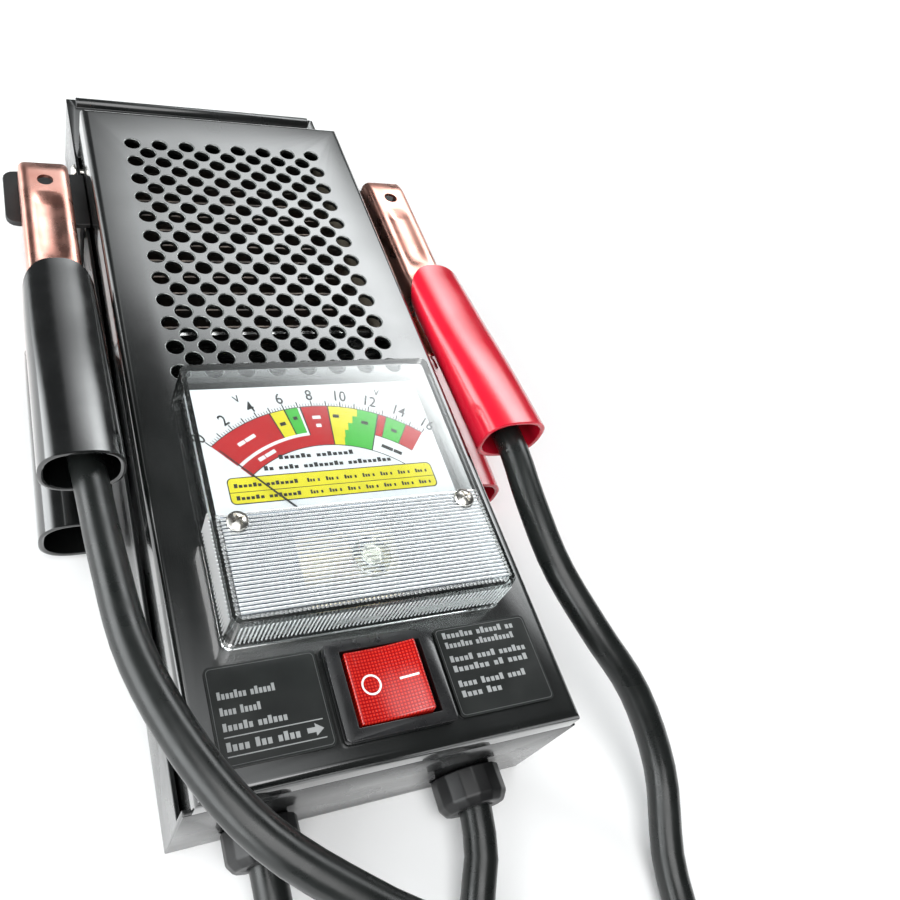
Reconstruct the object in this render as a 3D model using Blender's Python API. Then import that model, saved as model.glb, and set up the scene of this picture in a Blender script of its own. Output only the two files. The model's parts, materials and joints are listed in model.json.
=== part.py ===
"""Handheld 6 V / 12 V battery load tester, lying on its back.

All dimensions are millimetres until a mesh is made, when MM turns them into metres.
The tester's own axes: +X to the right seen from the front, +Y towards the vented top end,
+Z out of the front face.  Y is measured from the bottom end of the case and Z from the
surface that the tester lies on; the empty "tester_frame" shifts Y so that the world origin
is under the middle of the tester.
"""
import math

import bmesh
import bpy
from mathutils import Matrix, Vector

MM = 0.001

# ---- driving dimensions (mm) ------------------------------------------------------------
GAP = 0.3                      # clearance between pieces that touch
CASE_D = 47.0                  # surface to front face
CASE_L = 284.0                 # rear case, bottom end to top end
COVER_L = 252.0                # front cover, bottom end to top end
COVER_HALF_W = 51.5
TRAY_HALF_W = 53.5
SHEET = 1.2                    # thickness of the folded sheet
TRAY_RIM = 28.7                # height of the rear case's side walls
END_WALL = 39.0                # height of its bottom wall
BOTTOM_Y = -0.5                # outer face of the bottom wall
COVER_SKIRT = 24.0             # lower edge of the front cover's side walls
LEDGE_Y = 246.5                # the rear case's top ledge starts here
BEND_R = 2.5                   # outside radius of the sheet bends

VENT_PITCH = 10.0
VENT_R = 2.9
VENT_ROWS = 23
VENT_TOP_Y = 232.0

METER_Y = 73.0                 # middle of the meter
LENS_HALF = 39.3
LENS_H = 14.5                  # above the front face
PIVOT_Y = 52.0                 # needle's pivot
NEEDLE_R = 47.0
NEEDLE_ZERO = 41.0             # degrees left of straight up
LENS_SCREW_X, LENS_SCREW_Y = 32.5, 60.5
ADJUSTER_Y = 46.5

SWITCH_Y = 17.5
BEZEL_HALF_X, BEZEL_HALF_Y = 15.0, 12.5
ROCKER_HALF_X, ROCKER_HALF_Y = 10.2, 9.2
ROCKER_AXIS_Z = CASE_D - 3.0

REST_Z = 30.0                  # middle of the clamp rests and of the clamps
REST_LOW, REST_HIGH = 205.0, 233.0
REST_OUT = 80.0                # how far the rests reach sideways
CLAMP_X = 66.5
CLAMP_PIN_Y = 165.0

GLAND_X, GLAND_Z = 30.5, 10.6
CABLE_D = 9.4

Y_SHIFT = -136.7               # from the case's bottom end to the world origin

# Routes of the two free cables, gland first: points chosen by hand, case coordinates.
CABLE_LEFT_ROUTE = [
    (-30.5, -11.0, 10.6), (-30.2, -24.0, 9.0), (-29.5, -44.0, 6.0), (-31.0, -72.0, 5.2),
    (-28.0, -102.0, 5.2), (-12.0, -126.0, 5.2), (16.0, -130.0, 8.0), (34.0, -113.0, 15.5),
    (34.0, -88.0, 27.0), (19.5, -61.0, 40.0), (1.5, -42.5, 48.0), (-18.0, -29.6, 52.0),
    (-38.5, -12.5, 55.0), (-51.3, 7.3, 55.5), (-60.3, 32.6, 54.0), (-63.3, 58.6, 51.5),
    (-64.8, 85.0, 48.5), (-66.5, 108.0, 45.2),
]
CABLE_RIGHT_ROUTE = [
    (30.5, -11.0, 10.6), (28.5, -22.0, 9.2), (22.5, -37.5, 6.0), (19.0, -60.0, 5.2),
    (24.0, -82.0, 5.2), (40.0, -97.0, 5.2), (61.0, -96.0, 5.2), (76.0, -82.0, 5.2),
    (83.5, -60.0, 5.2), (87.5, -37.0, 6.6), (91.5, -14.0, 15.5), (85.5, 7.0, 27.5),
    (75.0, 25.0, 36.0), (67.6, 45.0, 41.5), (65.3, 66.0, 46.0), (66.0, 86.0, 48.0),
    (66.5, 108.0, 45.2),
]


# ---- materials --------------------------------------------------------------------------
def material(name, colour, roughness, metallic=0.0, transmission=0.0):
    made = bpy.data.materials.new(name)
    made.use_nodes = True
    shader = made.node_tree.nodes["Principled BSDF"]
    shader.inputs["Base Color"].default_value = (*colour, 1.0)
    shader.inputs["Roughness"].default_value = roughness
    shader.inputs["Metallic"].default_value = metallic
    shader.inputs["Transmission Weight"].default_value = transmission
    made.diffuse_color = (*colour, 1.0)
    return made


# ---- mesh helpers: every one takes millimetres in case coordinates ----------------------
def add_object(name, mesh, finish, frame):
    made = bpy.data.objects.new(name, mesh)
    bpy.context.scene.collection.objects.link(made)
    if finish is not None:
        mesh.materials.append(finish)
    made.parent = frame
    return made


def finish_mesh(name, bm, finish, frame, origin=(0.0, 0.0, 0.0), smooth=None):
    """Turn a bmesh in case millimetres into an object whose origin is at `origin`."""
    bmesh.ops.remove_doubles(bm, verts=bm.verts, dist=1e-4)
    bmesh.ops.recalc_face_normals(bm, faces=bm.faces)
    bm.transform(Matrix.Translation(-Vector(origin)))
    bm.transform(Matrix.Scale(MM, 4))
    mesh = bpy.data.meshes.new(name)
    bm.to_mesh(mesh)
    bm.free()
    if smooth is not None:
        mesh.shade_smooth()
        mesh.set_sharp_from_angle(angle=math.radians(smooth))
    made = add_object(name, mesh, finish, frame)
    made.location = Vector(origin) * MM
    return made


def box_into(bm, low, high):
    corners = [bm.verts.new((x, y, z)) for x in (low[0], high[0])
               for y in (low[1], high[1]) for z in (low[2], high[2])]
    for a, b, c, d in ((0, 1, 3, 2), (4, 6, 7, 5), (0, 4, 5, 1),
                       (2, 3, 7, 6), (0, 2, 6, 4), (1, 5, 7, 3)):
        bm.faces.new([corners[i] for i in (a, b, c, d)])


def prism_into(bm, outline, start, end, axis="z"):
    """Extrude a closed outline between two planes.  axis x: outline is (y, z);
    axis y: (x, z); axis z: (x, y)."""
    def place(point, depth):
        u, v = point
        return {"x": (depth, u, v), "y": (u, depth, v), "z": (u, v, depth)}[axis]
    lower = [bm.verts.new(place(p, start)) for p in outline]
    upper = [bm.verts.new(place(p, end)) for p in outline]
    count = len(outline)
    bm.faces.new(lower)
    bm.faces.new(upper)
    for i in range(count):
        j = (i + 1) % count
        bm.faces.new((lower[i], lower[j], upper[j], upper[i]))


def disc_outline(centre, radius, sides, turn=0.0):
    step = 2 * math.pi / sides
    return [(centre[0] + radius * math.cos(i * step + turn),
             centre[1] + radius * math.sin(i * step + turn)) for i in range(sides)]


def lathe_into(bm, profile, centre, axis="z", sides=24, turn=0.0):
    """Turn a closed ring of (radius, height) points round an axis through `centre`.
    A point at radius 0 closes the shape on the axis."""
    step = 2 * math.pi / sides
    rings = []
    for radius, height in profile:
        ring = []
        for i in range(sides if radius > 0 else 1):
            c, s = math.cos(i * step + turn) * radius, math.sin(i * step + turn) * radius
            ring.append({"x": (centre[0] + height, centre[1] + c, centre[2] + s),
                         "y": (centre[0] + c, centre[1] + height, centre[2] + s),
                         "z": (centre[0] + c, centre[1] + s, centre[2] + height)}[axis])
        rings.append([bm.verts.new(p) for p in ring])
    closed = profile[0][0] > 0
    pairs = list(zip(rings, rings[1:] + rings[:1] if closed else rings[1:]))
    for one, two in pairs:
        for i in range(sides):
            j = (i + 1) % sides
            face = [one[i % len(one)], one[j % len(one)], two[j % len(two)], two[i % len(two)]]
            unique = list(dict.fromkeys(face))
            if len(unique) > 2:
                bm.faces.new(unique)


def loft_into(bm, rings):
    """Skin a list of rings that closes on itself: outer rings one way, inner ones back."""
    made = [[bm.verts.new(p) for p in ring] for ring in rings]
    count = len(rings[0])
    for one, two in zip(made, made[1:] + made[:1]):
        for i in range(count):
            j = (i + 1) % count
            bm.faces.new((one[i], one[j], two[j], two[i]))


def box(name, low, high, finish, frame, origin=(0.0, 0.0, 0.0)):
    bm = bmesh.new()
    box_into(bm, low, high)
    return finish_mesh(name, bm, finish, frame, origin)


def prism(name, outline, start, end, axis, finish, frame, origin=(0.0, 0.0, 0.0), smooth=None):
    bm = bmesh.new()
    prism_into(bm, outline, start, end, axis)
    return finish_mesh(name, bm, finish, frame, origin, smooth)


def turned(name, profile, centre, axis, sides, finish, frame,
           origin=(0.0, 0.0, 0.0), turn=0.0):
    bm = bmesh.new()
    lathe_into(bm, profile, centre, axis, sides, turn)
    return finish_mesh(name, bm, finish, frame, origin, smooth=35)


def combine(piece, other, operation):
    """Keep a Boolean with a hidden helper object on `piece`."""
    other.hide_render = True
    other.display_type = "WIRE"
    step = piece.modifiers.new(other.name, "BOOLEAN")
    step.operation = operation
    step.object = other


def cut(piece, other):
    combine(piece, other, "DIFFERENCE")


def join(piece, other):
    combine(piece, other, "UNION")


def rounded_rectangle(half_x, half_y, radius, centre=(0.0, 0.0), steps=4):
    points = []
    for quarter, (sx, sy) in enumerate(((1, 1), (-1, 1), (-1, -1), (1, -1))):
        cx = centre[0] + sx * (half_x - radius)
        cy = centre[1] + sy * (half_y - radius)
        for i in range(steps + 1):
            angle = math.pi / 2 * (quarter + i / steps)
            points.append((cx + radius * math.cos(angle), cy + radius * math.sin(angle)))
    return points


def smooth_route(points, spacing):
    """Catmull-Rom curve through the route's points, then even steps along it."""
    dense = []
    padded = [points[0]] + list(points) + [points[-1]]
    for a, b, c, d in zip(padded, padded[1:], padded[2:], padded[3:]):
        a, b, c, d = (Vector(p) for p in (a, b, c, d))
        for i in range(24):
            t = i / 24
            dense.append(0.5 * ((2 * b) + (c - a) * t + (2 * a - 5 * b + 4 * c - d) * t * t
                                + (3 * b - a - 3 * c + d) * t ** 3))
    dense.append(Vector(points[-1]))
    lengths = [0.0]
    for one, two in zip(dense, dense[1:]):
        lengths.append(lengths[-1] + (two - one).length)
    count = max(2, round(lengths[-1] / spacing))
    even, j = [], 0
    for i in range(count + 1):
        target = lengths[-1] * i / count
        while j < len(lengths) - 2 and lengths[j + 1] < target:
            j += 1
        share = (target - lengths[j]) / (lengths[j + 1] - lengths[j])
        even.append(dense[j].lerp(dense[j + 1], share))
    return even


def tube(name, points, diameter, finish, frame, resolution=2):
    """A round tube with filled ends along an open line of points."""
    curve = bpy.data.curves.new(name, "CURVE")
    curve.dimensions = "3D"
    curve.bevel_depth = diameter / 2 * MM
    curve.bevel_resolution = resolution
    curve.use_fill_caps = True
    curve.render_resolution_u = 0
    line = curve.splines.new("POLY")
    line.points.add(len(points) - 1)
    for knot, point in zip(line.points, points):
        knot.co = (*(Vector(point) * MM), 1.0)
    curve.materials.append(finish)
    made = bpy.data.objects.new(name, curve)
    bpy.context.scene.collection.objects.link(made)
    made.parent = frame
    return made


# ---- case -------------------------------------------------------------------------------
def vent_centres():
    """Staggered rows, eight holes and seven holes in turn, centred on the width."""
    for row in range(VENT_ROWS):
        count = 8 - row % 2
        for column in range(count):
            yield ((column - (count - 1) / 2) * VENT_PITCH, VENT_TOP_Y - row * VENT_PITCH / 2)


def bend(corner_y, corner_z, from_angle):
    """Quarter arc of a sheet bend seen along X, as (y, z) points."""
    cy = corner_y + math.copysign(BEND_R, METER_Y - corner_y)
    cz = corner_z - BEND_R
    return [(cy + BEND_R * math.cos(from_angle + i * math.pi / 6),
             cz + BEND_R * math.sin(from_angle + i * math.pi / 6)) for i in range(4)]


def front_cover(frame, finish):
    """Folded sheet: front face, two skirts inside the rear case and a top and bottom wall."""
    outline = ([(COVER_L, TRAY_RIM + GAP)] + bend(COVER_L, CASE_D, 0.0)
               + bend(BOTTOM_Y, CASE_D, math.pi / 2)
               + [(BOTTOM_Y, END_WALL + GAP), (1.1, END_WALL + GAP), (1.1, 30.0),
                  (3.0, 30.0), (3.0, COVER_SKIRT), (LEDGE_Y - 1.0, COVER_SKIRT),
                  (LEDGE_Y - 1.0, TRAY_RIM + GAP)])
    cover = prism("front_cover", outline, -COVER_HALF_W, COVER_HALF_W, "x", finish, frame)
    inside = COVER_HALF_W - SHEET
    cut(cover, box("cover_hollow", (-inside, 2.3, 10.0),
                   (inside, COVER_L - SHEET, CASE_D - SHEET), None, frame))
    holes = bmesh.new()
    for x, y in vent_centres():
        prism_into(holes, disc_outline((x, y), VENT_R, 8, math.pi / 8),
                   CASE_D - 3.0, CASE_D + 3.0)
    prism_into(holes, disc_outline((0.0, METER_Y), 31.5, 32), CASE_D - 3.0, CASE_D + 3.0)
    box_into(holes, (-14.0, SWITCH_Y - 11.0, CASE_D - 3.0), (14.0, SWITCH_Y + 11.0, CASE_D + 3.0))
    for side in (-1, 1):
        for y in CASE_SCREW_Y:
            prism_into(holes, disc_outline((y, CASE_SCREW_Z), 1.9, 8),
                       side * (COVER_HALF_W - 3.0), side * (COVER_HALF_W + 1.0), "x")
    cut(cover, finish_mesh("cover_cuts", holes, None, frame))
    return cover


CASE_SCREW_Y = (30.0, 240.0)
CASE_SCREW_Z = 26.4


def rear_case(frame, finish):
    """Folded tray: back, side walls, bottom wall with the gland holes, top wall and ledge."""
    outline = [(BOTTOM_Y, 0.0), (CASE_L, 0.0), (CASE_L, TRAY_RIM), (BOTTOM_Y + 1.5, TRAY_RIM),
               (BOTTOM_Y + 1.5, END_WALL), (BOTTOM_Y, END_WALL)]
    case = prism("rear_case", outline, -TRAY_HALF_W, TRAY_HALF_W, "x", finish, frame)
    inside = TRAY_HALF_W - SHEET
    cut(case, box("case_hollow", (-inside, BOTTOM_Y + SHEET, SHEET),
                  (inside, LEDGE_Y, 60.0), None, frame))
    cut(case, box("ledge_hollow", (-inside, LEDGE_Y - 5.0, SHEET),
                  (inside, CASE_L - SHEET, TRAY_RIM - SHEET), None, frame))
    lip = [(CASE_L - 2.8 + 2.6 * math.cos(a * math.pi / 6), TRAY_RIM - 0.2
            + 2.6 * math.sin(a * math.pi / 6)) for a in range(7)]
    join(case, prism("top_lip", [(CASE_L - 5.4, TRAY_RIM - 0.6), (CASE_L - 0.2, TRAY_RIM - 0.6)]
                     + lip, -TRAY_HALF_W + 3.5, TRAY_HALF_W - 3.5, "x", None, frame))
    holes = bmesh.new()
    for side in (-1, 1):
        prism_into(holes, disc_outline((side * GLAND_X, GLAND_Z), 8.3, 20), -4.0, 4.0, "y")
        for y in CASE_SCREW_Y:
            prism_into(holes, disc_outline((y, CASE_SCREW_Z), 1.9, 8),
                       side * (TRAY_HALF_W - 3.0), side * (TRAY_HALF_W + 1.0), "x")
        prism_into(holes, disc_outline((REST_RIVET_Y, REST_RIVET_Z), 1.9, 8),
                   side * (TRAY_HALF_W - 3.0), side * (TRAY_HALF_W + 1.0), "x")
    cut(case, finish_mesh("case_cuts", holes, None, frame))
    return case


def side_fastener(name, side, y, z, reach, head_r, finish, frame):
    """Pan-head screw or rivet driven from outside through a side wall."""
    head = [(0.0, 2.0), (head_r * 0.6, 1.9), (head_r, 1.0), (head_r, GAP), (1.5, GAP),
            (1.5, -reach), (0.0, -reach)]
    bm = bmesh.new()
    lathe_into(bm, head, (0.0, 0.0, 0.0), "x", 12)
    if side < 0:
        bmesh.ops.scale(bm, vec=(-1, 1, 1), verts=bm.verts)
    bmesh.ops.translate(bm, vec=(side * TRAY_HALF_W, y, z), verts=bm.verts)
    return finish_mesh(name, bm, finish, frame, smooth=35)


REST_RIVET_Y = 219.0
REST_RIVET_Z = 14.0


def clamp_rest(name, side, finish, frame):
    """Angle plate that one parked clamp bites on: a tab reaching out and a leg on the wall."""
    leg_in, leg_out = TRAY_HALF_W + GAP, TRAY_HALF_W + GAP + 1.5
    top, under = REST_Z + 1.0, REST_Z - 1.0
    section = [(leg_in - 2.0, under + 0.2), (leg_in - 2.0, top), (REST_OUT, top),
               (REST_OUT, under), (leg_out, under), (leg_out, 8.0), (leg_in, 8.0),
               (leg_in, under + 0.2)]
    plate = prism(name, [(side * x, z) for x, z in section], REST_LOW, REST_HIGH, "y",
                  finish, frame)
    cuts = bmesh.new()
    prism_into(cuts, disc_outline((REST_RIVET_Y, REST_RIVET_Z), 1.9, 8),
               side * (TRAY_HALF_W - 1.0), side * (TRAY_HALF_W + 4.0), "x")
    corner = 4.0
    for y, out in ((REST_LOW, -1), (REST_HIGH, 1)):
        arc = [(side * (REST_OUT - corner + corner * math.sin(a * math.pi / 8)),
                y - out * corner + out * corner * math.cos(a * math.pi / 8)) for a in range(5)]
        prism_into(cuts, arc + [(side * (REST_OUT + 2.0), y - out * corner),
                                (side * (REST_OUT + 2.0), y + out * 2.0),
                                (side * (REST_OUT - corner), y + out * 2.0)],
                   under - 3.0, top + 3.0)
    cut(plate, finish_mesh(name + "_cuts", cuts, None, frame))
    return plate


# ---- meter ------------------------------------------------------------------------------
def meter(frame, looks):
    face = CASE_D
    lens_top = face + LENS_H
    base = prism("meter_base", rounded_rectangle(36.5, 37.0, 2.0, (0.0, METER_Y)),
                 face + GAP, face + 4.8, "z", looks["black_plastic"], frame)
    join(base, turned("meter_can", [(0.0, -18.0), (30.5, -18.0), (30.5, 2.0), (0.0, 2.0)],
                      (0.0, METER_Y, face), "z", 32, None, frame))
    wells = bmesh.new()
    box_into(wells, (-16.0, PIVOT_Y - 9.0, face - 15.0), (16.0, PIVOT_Y + 13.0, face + 8.0))
    for x in (-LENS_SCREW_X, LENS_SCREW_X):
        prism_into(wells, disc_outline((x, LENS_SCREW_Y), 1.8, 10), face + 1.2, face + 8.0)
    for x in (-18.0, 18.0):
        prism_into(wells, disc_outline((x, METER_Y + 12.0), 2.4, 10), face - 25.0, face + 3.6)
    cut(base, finish_mesh("meter_wells", wells, None, frame))

    lens = bmesh.new()
    outer = [rounded_rectangle(half, 40.0 - (LENS_HALF - half), 2.0, (0.0, METER_Y), 3)
             for half in (LENS_HALF, LENS_HALF - 0.6)]
    inner = [rounded_rectangle(half, 38.2 - (LENS_HALF - 1.8 - half), 1.2, (0.0, METER_Y), 3)
             for half in (LENS_HALF - 1.8, LENS_HALF - 2.2)]
    rings = [[(x, y, z) for x, y in ring] for ring, z in (
        (outer[0], face + GAP), (outer[0], face + 3.0), (outer[1], lens_top))]
    rings += [[(x, y, z) for x, y in ring] for ring, z in (
        (inner[1], lens_top - 1.8), (inner[0], face + GAP))]
    shell = [[lens.verts.new(p) for p in ring] for ring in rings]
    count = len(shell[0])
    for one, two in ((shell[0], shell[1]), (shell[1], shell[2]),
                     (shell[3], shell[4]), (shell[4], shell[0])):
        for i in range(count):
            j = (i + 1) % count
            lens.faces.new((one[i], one[j], two[j], two[i]))
    lens.faces.new(shell[2])
    lens.faces.new(shell[3])
    lens = finish_mesh("meter_lens", lens, looks["clear"], frame)
    bosses = bmesh.new()
    for x in (-LENS_SCREW_X, LENS_SCREW_X):
        prism_into(bosses, disc_outline((x, LENS_SCREW_Y), 3.6, 16), face + 5.4, lens_top - 1.0)
    join(lens, finish_mesh("lens_bosses", bosses, None, frame))
    join(lens, turned("adjuster_collar", [(5.2, -2.0), (5.2, 0.8), (3.0, 0.8), (3.0, -2.0)],
                      (0.0, ADJUSTER_Y, lens_top), "z", 24, None, frame))
    holes = bmesh.new()
    for x in (-LENS_SCREW_X, LENS_SCREW_X):
        prism_into(holes, disc_outline((x, LENS_SCREW_Y), 1.9, 12), face + 4.0, lens_top + 3.0)
    prism_into(holes, disc_outline((0.0, ADJUSTER_Y), 2.6, 16), lens_top - 4.0, lens_top + 3.0)
    cut(lens, finish_mesh("lens_holes", holes, None, frame))

    for x, side in ((-LENS_SCREW_X, "left"), (LENS_SCREW_X, "right")):
        turned("lens_screw_" + side,
               [(0.0, 1.9), (1.8, 1.7), (2.9, 0.9), (2.9, GAP), (1.4, GAP), (1.4, -12.5),
                (0.0, -12.5)],
               (x, LENS_SCREW_Y, lens_top), "z", 16, looks["zinc"], frame)

    dial_z = face + 5.1
    prism("dial_plate", rounded_rectangle(36.2, 21.5, 1.0, (0.0, 88.2)),
          dial_z, dial_z + 0.5, "z", looks["dial"], frame)

    magnet = prism("meter_magnet", rounded_rectangle(13.5, 9.6, 2.0, (0.0, PIVOT_Y + 2.0)),
                   face - 14.5, face - 3.0, "z", looks["steel"], frame)
    cut(magnet, turned("magnet_bore", [(0.0, -30.0), (7.0, -30.0), (7.0, 10.0), (0.0, 10.0)],
                       (0.0, PIVOT_Y, face), "z", 24, None, frame))


def meter_movement(frame, looks):
    """Coil on its staff, bridge, hairspring and needle, on one upright axis."""
    face = CASE_D
    pivot = (0.0, PIVOT_Y, face)
    coil = bmesh.new()
    box_into(coil, (-5.4, PIVOT_Y - 2.2, face - 13.0), (5.4, PIVOT_Y + 2.2, face - 4.0))
    coil = finish_mesh("moving_coil", coil, looks["copper"], frame, pivot)
    cut(coil, box("coil_window", (-4.0, PIVOT_Y - 4.0, face - 11.6),
                  (4.0, PIVOT_Y + 4.0, face - 5.4), None, frame))
    join(coil, turned("coil_staff", [(0.0, -5.0), (0.55, -5.0), (0.55, 7.6), (0.0, 7.6)],
                      pivot, "z", 10, None, frame))
    bridge = box("meter_bridge", (-15.0, PIVOT_Y - 4.0, face - 2.7),
                 (15.0, PIVOT_Y + 4.0, face - 1.5), looks["brass"], frame)
    cut(bridge, turned("bridge_hole", [(0.0, -6.0), (0.9, -6.0), (0.9, 2.0), (0.0, 2.0)],
                       pivot, "z", 12, None, frame))
    turns = [((1.1 + 0.32 * i / 6) * math.cos(i * math.pi / 6),
              PIVOT_Y + (1.1 + 0.32 * i / 6) * math.sin(i * math.pi / 6), face + 2.4)
             for i in range(7 * 6 + 1)]
    tube("hairspring", turns, 0.4, looks["brass"], frame, resolution=1)

    angle = math.radians(90.0 + NEEDLE_ZERO)
    along = Vector((math.cos(angle), math.sin(angle)))
    across = Vector((-along.y, along.x))
    centre = Vector((0.0, PIVOT_Y))
    outline = [centre + along * a + across * b for a, b in (
        (NEEDLE_R, 0.18), (2.0, 0.55), (-9.0, 1.4), (-9.0, -1.4), (2.0, -0.55),
        (NEEDLE_R, -0.18))]
    needle = prism("meter_needle", [(p.x, p.y) for p in outline], face + 6.3, face + 6.8, "z",
                   looks["black_metal"], frame, pivot)
    join(needle, turned("needle_hub", [(0.0, 6.1), (2.0, 6.1), (2.0, 7.2), (0.0, 7.2)],
                        pivot, "z", 16, None, frame))
    cut(needle, turned("needle_bore", [(0.0, 5.0), (0.85, 5.0), (0.85, 9.0), (0.0, 9.0)],
                       pivot, "z", 12, None, frame))

    adjuster = turned("zero_adjuster",
                      [(0.0, -2.6), (2.2, -2.6), (2.2, 0.0), (2.6, 0.3), (2.6, 1.4), (2.2, 1.8),
                       (0.0, 1.8)],
                      (0.0, ADJUSTER_Y, face + LENS_H), "z", 20, looks["clear"], frame,
                      (0.0, ADJUSTER_Y, face + LENS_H))
    cut(adjuster, box("adjuster_slot", (-3.0, ADJUSTER_Y - 0.45, face + LENS_H + 0.9),
                      (3.0, ADJUSTER_Y + 0.45, face + LENS_H + 4.0), None, frame))
    for x, side in ((-18.0, "left"), (18.0, "right")):
        turned("meter_stud_" + side,
               [(0.0, -24.0), (2.0, -24.0), (2.0, -22.0), (4.0, -22.0), (4.0, -18.6),
                (2.0, -18.6), (2.0, 3.0), (0.0, 3.0)],
               (x, METER_Y + 12.0, face), "z", 12, looks["brass"], frame)


# ---- switch -----------------------------------------------------------------------------
def switch(frame, looks):
    face = CASE_D
    housing = prism("switch_housing",
                    rounded_rectangle(BEZEL_HALF_X, BEZEL_HALF_Y, 1.2, (0.0, SWITCH_Y), 3),
                    face + GAP, face + 2.8, "z", looks["black_plastic"], frame)
    join(housing, box("switch_can", (-13.4, SWITCH_Y - 10.4, face - 24.0),
                      (13.4, SWITCH_Y + 10.4, face + 1.0), None, frame))
    cavity = bmesh.new()
    box_into(cavity, (-ROCKER_HALF_X - 1.0, SWITCH_Y - ROCKER_HALF_Y - 0.4, face - 15.0),
             (ROCKER_HALF_X + 1.0, SWITCH_Y + ROCKER_HALF_Y + 0.4, face + 8.0))
    for x in (-7.0, 7.0):
        box_into(cavity, (x - 3.5, SWITCH_Y - 0.9, face - 30.0), (x + 3.5, SWITCH_Y + 0.9, face - 12.0))
    cut(housing, finish_mesh("switch_cavity", cavity, None, frame))

    axis = (0.0, SWITCH_Y, ROCKER_AXIS_Z)
    top = []
    for i in range(9):
        x = -ROCKER_HALF_X + (2 * ROCKER_HALF_X - 1.4) * i / 8
        rise = 3.0 + 0.135 * (x + ROCKER_HALF_X) + 0.011 * x * x
        top.append((x, face + rise - 1.2))
    profile = top[::-1] + [(-ROCKER_HALF_X, face - 1.5), (-3.0, face - 7.5), (3.0, face - 7.5),
                           (ROCKER_HALF_X, face - 0.5)]
    prism("switch_rocker", profile, SWITCH_Y - ROCKER_HALF_Y, SWITCH_Y + ROCKER_HALF_Y, "y",
          looks["red_clear"], frame, axis)
    box("switch_contact", (-9.0, SWITCH_Y - 2.5, face - 9.0), (9.0, SWITCH_Y + 2.5, face - 7.8),
        looks["brass"], frame, axis)
    coil = [(2.2 * math.cos(i * math.pi / 4), SWITCH_Y + 2.2 * math.sin(i * math.pi / 4),
             face - 14.4 + 5.0 * i / 32) for i in range(33)]
    tube("switch_spring", coil, 0.6, looks["steel"], frame, resolution=1)
    for x, side in ((-7.0, "left"), (7.0, "right")):
        box("switch_terminal_" + side, (x - 3.1, SWITCH_Y - 0.5, face - 33.0),
            (x + 3.1, SWITCH_Y + 0.5, face - 14.6), looks["brass"], frame)


# ---- load -------------------------------------------------------------------------------
def load_element(frame, looks):
    """Resistance ribbon standing on edge, folded to and fro between two mica boards."""
    low, high, half, thick = 152.0, 240.0, 37.0, 0.7
    runs = 12
    pitch = (high - low) / (runs - 1)
    centre = []
    for run in range(runs):
        y, side = low + run * pitch, 1 if run % 2 else -1
        centre.append((side * half, y))
        centre.append((-side * half, y))
        if run < runs - 1:
            for i in range(1, 6):
                a = math.pi * i / 6
                centre.append((-side * (half + pitch / 2 * math.sin(a)),
                               y + pitch / 2 * (1 - math.cos(a))))
    normals = []
    for i in range(len(centre)):
        before, after = centre[max(i - 1, 0)], centre[min(i + 1, len(centre) - 1)]
        along = (Vector(after) - Vector(before)).normalized()
        normals.append(Vector((-along.y, along.x)) * thick / 2)
    left = [Vector(p) + n for p, n in zip(centre, normals)]
    right = [Vector(p) - n for p, n in zip(centre, normals)]
    prism("load_ribbon", [(p.x, p.y) for p in left + right[::-1]], 16.0, 34.0, "z",
          looks["nichrome"], frame)
    for side, name in ((-1, "left"), (1, "right")):
        box("mica_board_" + name, (min(side * 43.0, side * 45.0), low - 6.0, 8.0),
            (max(side * 43.0, side * 45.0), high + 4.0, 40.0), looks["mica"], frame)
    shield = [(142.0, 1.5), (143.2, 1.5), (143.2, 41.0), (142.0, 41.0)]
    prism("heat_shield", shield, -46.0, 46.0, "x", looks["bright_steel"], frame)
    box("bus_bar", (9.0, 8.0, 3.0), (21.0, 100.0, 5.0), looks["copper"], frame)


# ---- cable entries ----------------------------------------------------------------------
def cable_entry(side, name, frame, looks):
    centre = (side * GLAND_X, 0.0, GLAND_Z)
    bore = CABLE_D / 2 + GAP
    turned("gland_" + name,
           [(7.9, BOTTOM_Y + 4.5), (7.9, BOTTOM_Y - GAP), (10.2, BOTTOM_Y - GAP),
            (10.2, -8.4), (8.6, -10.6), (bore, -10.6), (bore, BOTTOM_Y + 4.5)],
           centre, "y", 16, looks["black_plastic"], frame, turn=math.pi / 16)
    turned("gland_nut_" + name,
           [(9.3, 1.2), (9.3, 3.6), (8.3, 3.6), (8.3, 1.2)], centre, "y", 12,
           looks["black_plastic"], frame)
    inner_end = 26.0
    tube("inner_lead_" + name,
         [(centre[0], y, centre[2]) for y in (-3.0, 6.0, inner_end)],
         CABLE_D, looks["cable"], frame)
    lug = turned("cable_lug_" + name,
                 [(0.0, inner_end + GAP), (4.4, inner_end + GAP), (4.4, inner_end + 13.0),
                  (0.0, inner_end + 13.0)], centre, "y", 12, looks["copper"], frame)
    join(lug, box("lug_tongue_" + name,
                  (centre[0] - 5.5, inner_end + 10.0, centre[2] - 1.0),
                  (centre[0] + 5.5, inner_end + 30.0, centre[2] + 1.0), None, frame))


# ---- clamps -----------------------------------------------------------------------------
def strip_outline(points, thickness):
    """Closed outline of a bent strip of sheet below a polyline of (u, v) points."""
    return points + [(u, v - thickness) for u, v in points[::-1]]


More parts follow.
